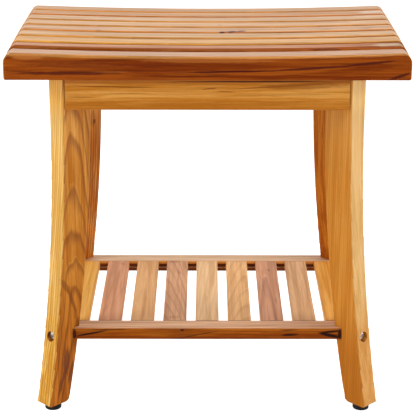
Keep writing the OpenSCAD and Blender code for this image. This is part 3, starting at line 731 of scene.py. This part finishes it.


# Each leg's cheeks and outer edge: midway, near the floor, and close under the seat, where they
# are lighter; on the outer edge that is painted light against the seat's shade
LEGS = (
    ((((220, 152, 64), (184, 109, 29), (118, 60, 36)),
      ((235, 188, 107), (212, 160, 74), (166, 102, 34))),
     (((192, 112, 28), (156, 83, 13), (84, 36, 12)),
      ((236, 186, 92), (208, 146, 46), (126, 64, 16))),
     (((234, 170, 86), (202, 130, 50), (134, 76, 54)),
      ((250, 192, 98), (232, 168, 68), (196, 122, 38)))),
    ((((216, 146, 58), (200, 125, 38), (150, 82, 20)),
      ((224, 180, 118), (206, 158, 90), (180, 130, 70))),
     (((189, 114, 29), (177, 103, 18), (136, 70, 10)),
      ((216, 160, 90), (198, 136, 64), (168, 106, 46))),
     (((222, 156, 74), (206, 136, 54), (160, 94, 34)),
      ((254, 212, 142), (246, 192, 114), (226, 166, 94)))),
    ((((228, 152, 70), (190, 104, 26), (76, 30, 10)),
      ((214, 158, 82), (190, 126, 52), (126, 70, 26))),
     (((200, 122, 44), (160, 80, 14), (70, 28, 10)),
      ((206, 148, 72), (180, 114, 42), (120, 66, 22))),
     (((254, 188, 98), (228, 136, 42), (124, 58, 22)),
      ((220, 164, 86), (198, 134, 58), (134, 76, 30)))),
    ((((216, 132, 34), (181, 96, 8), (122, 58, 6)),
      ((214, 158, 82), (190, 126, 52), (126, 70, 26))),
     (((198, 116, 38), (160, 78, 12), (72, 28, 10)),
      ((206, 148, 72), (180, 114, 42), (120, 66, 22))),
     (((228, 148, 46), (192, 106, 14), (132, 66, 10)),
      ((220, 164, 86), (198, 134, 58), (134, 76, 30)))),
)
# Growth rings of each leg: pith (mm), taper, spacing, wander and strength. The first shows arches
LEG_RINGS = (
    ((0.0, 9.0, 60.0), 0.075, 3.6, 8.0, 0.55), ((0.0, 70.0, -30.0), 0.01, 3.0, 3.0, 0.25),
    ((0.0, 0.0, 160.0), 0.002, 4.0, 3.0, 0.6), ((0.0, 0.0, -160.0), 0.002, 4.5, 3.0, 0.12),
)
# A hook and brown patches low on the front left leg, and a knot and a streak on the back left one
HOOK, PATCH, KNOT = (124, 66, 24), (104, 52, 26), (70, 26, 10)
LEG_MARKS = {
    0: (((-58, 24, 12), (13, 6, 6), (0, 0.5, 0), 1.3, HOOK, 0.6),
        ((-78, 15, 12), (24, 3.6, 6), (0, 0.35, 0), 1.2, HOOK, 0.7),
        ((-108, 8, 12), (26, 2.8, 6), (0, 0.15, 0), 1.2, HOOK, 0.6),
        ((-158, 26, 12), (24, 7, 6), (0, -0.1, 0), 1.2, PATCH, 0.8),
        ((-182, 34, 12), (26, 3.6, 6), (0, -0.33, 0), 0.9, PATCH, 0.8),
        ((-174, 20, 12), (18, 3.6, 6), (0, -0.3, 0), 0.9, PATCH, 0.8)),
    2: (((92, -21, 3), (18, 8, 6), (0, 0, 0), 1.3, (104, 48, 20), 0.35),
        ((88, -21, 1), (5, 8, 3), (0, 0, 0), 0.9, KNOT, 0.6),
        ((10, -21, 6), (90, 8, 1.2), (0, 0, 0.01), 0.6, KNOT, 0.6)),
}
# Middle of a leg from the middle of the floor (m), mirrored to each corner
LEG_MIDDLE = (0.1652, 0.1125, 0.22)
# Heights along a leg, in mm from its middle, at which the tones of its cheeks change. Those of
# the front left leg turn to the low ones further up
LOW_START, ARCHED_LOW_START, LOW_FULL = -70.0, 60.0, -155.0
BACK_TOP_START, FRONT_TOP_START, TOP_RUN = 40.0, 80.0, 70.0
# Heights at which the low and the top tones of its outer edge begin and are full. The top ones
# are lighter: painted light against the seat's shade
EDGE_LOW, EDGE_PAINTED_LIGHT = (-40.0, -150.0), (140.0, 192.0)


def finish_legs():
    """The four curved legs, which stand on the diagonals."""
    for i, ((mid, mid_edge), (low, low_edge), (top, painted_light_edge)) in enumerate(LEGS):
        node = f"leg_{CORNERS[i]}"
        side = 1 if "right" in node else -1
        end = 1 if "back" in node else -1
        out = Vector((side, end, 0)).normalized()
        up = Vector(UP)
        pith, taper, spacing, wander, ring = LEG_RINGS[i]
        low_start = ARCHED_LOW_START if i == 0 else LOW_START
        top_start = FRONT_TOP_START if end < 0 else BACK_TOP_START
        x, y, z = LEG_MIDDLE
        zones = ((own_axis(ALONG), low_start, LOW_FULL, low),
                 (own_axis(ALONG), top_start, top_start + TOP_RUN, top),
                 (facing(out), *EDGE_TURN, mid_edge),
                 (edge_run(out, *EDGE_LOW), 0.0, 1.0, low_edge),
                 # The outer edge lighter close under the seat: painted light against the seat's shade
                 (edge_run(out, *EDGE_PAINTED_LIGHT), 0.0, 1.0, painted_light_edge))
        dress_board(node, (up, out, up.cross(out)), mid, centre=(side * x, end * y, z),
                    zones=zones, pith=pith, taper=taper, spacing=spacing, wander=wander,
                    ring=ring, streak=0.25, hair=0.35, seed=40 + i, marks=LEG_MARKS.get(i, ()))


# Shelf slats, left to right
SHELF = (
    ((238, 182, 92), (214, 150, 58), (158, 92, 32)),
    ((222, 160, 118), (192, 132, 90), (146, 86, 60)),
    ((230, 178, 120), (204, 146, 88), (152, 96, 50)),
    ((222, 170, 126), (190, 136, 96), (134, 78, 56)),
    ((242, 201, 150), (216, 169, 116), (166, 112, 70)),
    ((242, 192, 132), (216, 160, 100), (160, 102, 56)),
    ((222, 162, 122), (188, 130, 92), (104, 55, 50)),
    ((230, 180, 130), (200, 148, 98), (144, 92, 56)),
    ((242, 176, 84), (216, 144, 50), (158, 92, 28)),
)
# Taper and strength of each shelf slat's rings
SHELF_RINGS = ((0.01, 0.1), (0.03, 0.15), (0.02, 0.12), (0.08, 0.3), (0.05, 0.15), (0.07, 0.25),
               (0.01, 0.35), (0.03, 0.12), (0.01, 0.1))
# A knot, dark streaks and brown patches on some of them
SHELF_MARKS = {
    1: (((96, -6, 9), (10, 5, 6), (0, 0.3, 0), 0.8, (138, 70, 42), 0.6),
        ((-70, 8, 9), (30, 4, 6), (0, -0.15, 0), 1.2, (150, 84, 72), 0.4)),
    3: (((104, 4, 9), (8, 14, 6), (0, 0, 0), 0.9, (136, 62, 28), 0.7),
        ((64, -2, 9), (20, 6, 6), (0, 0.3, 0), 0.9, (150, 92, 76), 0.5),
        ((-96, 2, 9), (12, 14, 6), (0, 0, 0), 0.9, (150, 84, 48), 0.5)),
    6: (((72, -3, 9), (10, 3.4, 6), (0, 0.1, 0), 0.7, (44, 20, 34), 0.9),
        ((-40, -8, 9), (24, 1.2, 6), (0, 0, 0), 0.5, (72, 34, 40), 0.7),
        ((10, 7, 9), (60, 0.9, 6), (0, 0.02, 0), 0.5, (84, 40, 40), 0.6)),
}


def finish_shelf_slats():
    """The nine slats of the shelf."""
    for i, tones in enumerate(SHELF):
        taper, ring = SHELF_RINGS[i]
        dress_board(f"shelf_slat_{i + 1}", ALONG_Y, tones, gloss=0.2, taper=taper, wander=4.0,
                    pith=(0.0, -30.0 + 17.0 * (i % 4), -40.0), ring=ring, streak=0.2, hair=0.35,
                    pore=0.2, seed=60 + i, marks=SHELF_MARKS.get(i, ()))


# Shelf rails: the top, pale with a painted sheen, the long faces, which on the back rail are
# darker with painted shade of the groove, and the lip above the groove on the side to the front
RAILS = {
    # Each rail's top tones are pale with a painted sheen
    "front": (((246, 198, 156), (220, 168, 126), (156, 104, 68)),
              ((184, 102, 22), (140, 62, 4), (48, 16, 6)),
              ((184, 102, 22), (140, 62, 4), (48, 16, 6))),
    "back": (((248, 208, 168), (222, 180, 138), (160, 116, 80)),
             # The back rail's long faces: darker, painted shade of the groove
             ((158, 90, 40), (116, 58, 24), (50, 21, 9)),
             ((226, 150, 72), (204, 126, 52), (140, 76, 30))),
}
RAIL_OIL = (0.6, 0.9, 0.4)
# Dark end lines, a painted shadow where the rail meets the legs, then wedges and streaks on the
# front rail's face, and thin streaks on its top
INK_AND_SHADOW = (26, 10, 8)
RAIL_MARKS = (
    # A painted shadow line at the left end, against the leg
    ((-165, -13, 0), (3.0, 8, 9), (0, 0, 0), 0.2, INK_AND_SHADOW, 0.85),
    ((-145, -13, 0.4), (26, 6, 1.8), (0, 0, 0.2), 0.3, INK_AND_SHADOW, 0.9),
    ((-124, -13, 5.6), (32, 6, 0.9), (0, 0, 0.01), 0.3, INK_AND_SHADOW, 0.75),
    ((-31, -13, 5.2), (3, 6, 1.6), (0, 0, 0), 0.6, INK_AND_SHADOW, 0.95),
    ((-11, -13, -1.0), (32, 6, 0.8), (0, 0, 0.2), 0.3, INK_AND_SHADOW, 0.75),
    ((-36, -13, -6.8), (13, 6, 1.1), (0, 0, 0), 0.3, INK_AND_SHADOW, 0.85),
    ((102, -13, 5.2), (14, 6, 0.9), (0, 0, 0.02), 0.3, INK_AND_SHADOW, 0.85),
    ((103, -13, -1.2), (14, 6, 2.2), (0, 0, 0.05), 0.4, INK_AND_SHADOW, 0.85),
    ((153, -13, 2.9), (18, 6, 2.1), (0, 0, 0.13), 0.3, INK_AND_SHADOW, 0.95),
    ((153, -13, -1.8), (18, 6, 3.0), (0, 0, -0.22), 0.3, INK_AND_SHADOW, 0.95),
    # A painted shadow line at the right end, against the leg
    ((165, -13, 0), (3.0, 8, 9), (0, 0, 0), 0.2, INK_AND_SHADOW, 0.9),
    ((40, -13, -6.5), (60, 6, 0.8), (0, 0, 0.01), 0.3, INK_AND_SHADOW, 0.5),
    ((70, -3, 7), (110, 0.9, 3), (0, 0.01, 0), 0.4, (156, 96, 64), 0.6),
    ((-70, 4, 7), (90, 0.8, 3), (0, -0.01, 0), 0.4, (160, 100, 68), 0.5),
    ((120, -9, 7), (46, 0.9, 3), (0, 0.02, 0), 0.4, (140, 82, 52), 0.7),
    ((-20, -8, 7), (60, 0.8, 3), (0, 0.005, 0), 0.4, (164, 104, 72), 0.5),
)


def finish_shelf_rails():
    """The two rails that carry the shelf."""
    for i, (end, (top, face, lip)) in enumerate(RAILS.items()):
        dress_board(f"shelf_rail_{end}", ALONG_X, top, oil=RAIL_OIL, gloss=0.05,
                    zones=((long_side, *SIDE_TURN, face), (front_lip, 0.0, 1.0, lip)),
                    pith=(0.0, 20.0, -40.0), taper=0.01, ring=0.35, seed=75 + i,
                    marks=RAIL_MARKS if end == "front" else ())


def finish_hardware():
    """Steel screws, bolts and stems, brass inserts and rubber pads."""
    steel = turned_metal("stainless", STEEL, 0.3)
    brass = turned_metal("turned_brass", BRASS, 0.32)
    rubber = moulded_rubber("black_rubber")
    for node in ("seat_slat_screws", "corner_block_screws", "leg_bolts", "leg_bolt_washers",
                 "shelf_bolts"):
        dress(node, steel)
    for node in ("leg_inserts", "shelf_inserts", "foot_inserts"):
        dress(node, brass)
    for corner in CORNERS:
        dress(f"foot_stem_{corner}", steel)
        dress(f"foot_pad_{corner}", rubber)


place_camera()
light_studio()
lay_floor()
finish_seat()
finish_aprons()
finish_hidden_boards()
finish_legs()
finish_shelf_slats()
finish_shelf_rails()
finish_hardware()
